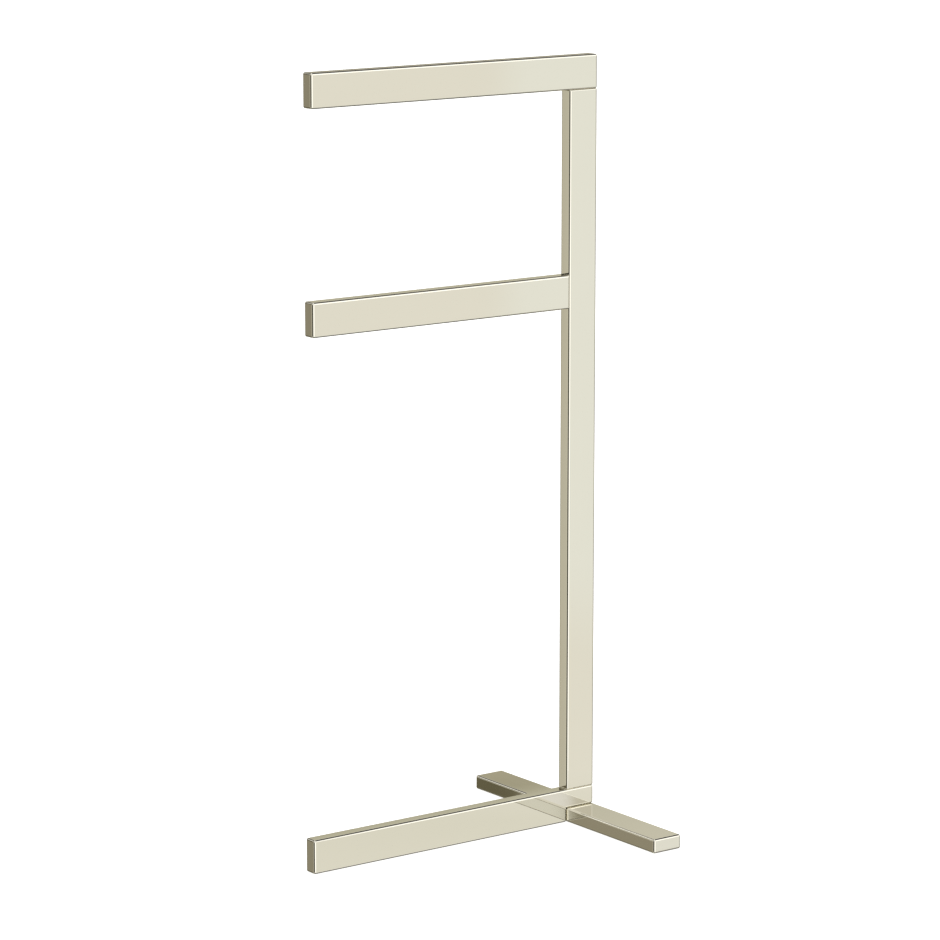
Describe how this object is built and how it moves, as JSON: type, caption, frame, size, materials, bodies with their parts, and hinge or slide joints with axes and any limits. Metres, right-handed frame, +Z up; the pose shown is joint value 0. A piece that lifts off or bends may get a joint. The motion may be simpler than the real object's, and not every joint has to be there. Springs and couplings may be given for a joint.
{
  "type": "towel stand",
  "caption": "Free-standing towel stand of flat polished bar: an upright on a long foot and a cross foot, with a top arm and a middle arm that point the same way.",
  "frame": {"origin": "on the floor, under the middle of the whole stand's box", "axes": "+X from the arms' free ends to the upright, +Y from the front to the back, +Z up"},
  "size_m": [0.353, 0.305, 0.8],
  "materials": {
    "polished_metal": "polished",
    "plain_steel": "satin",
    "screw_steel": "satin",
    "pad_rubber": "matte"
  },
  "bodies": {
    "root": {"upright": "polished_metal", "top_arm": "polished_metal", "top_arm_free_end_plate": "polished_metal", "top_arm_upright_end_plate": "polished_metal", "middle_arm": "polished_metal", "middle_arm_end_plate": "polished_metal", "long_foot": "polished_metal", "cross_foot": "polished_metal", "base_plug": "plain_steel", "top_spigot": "plain_steel", "middle_spigot": "plain_steel", "nut_plate": "plain_steel", "base_screws": "screw_steel", "base_lock_washers": "screw_steel", "top_arm_grub_screws": "screw_steel", "spigot_screws": "screw_steel", "middle_arm_grub_screw": "screw_steel", "long_foot_pad": "pad_rubber", "cross_foot_front_pad": "pad_rubber", "cross_foot_back_pad": "pad_rubber"}
  },
  "joints": []
}
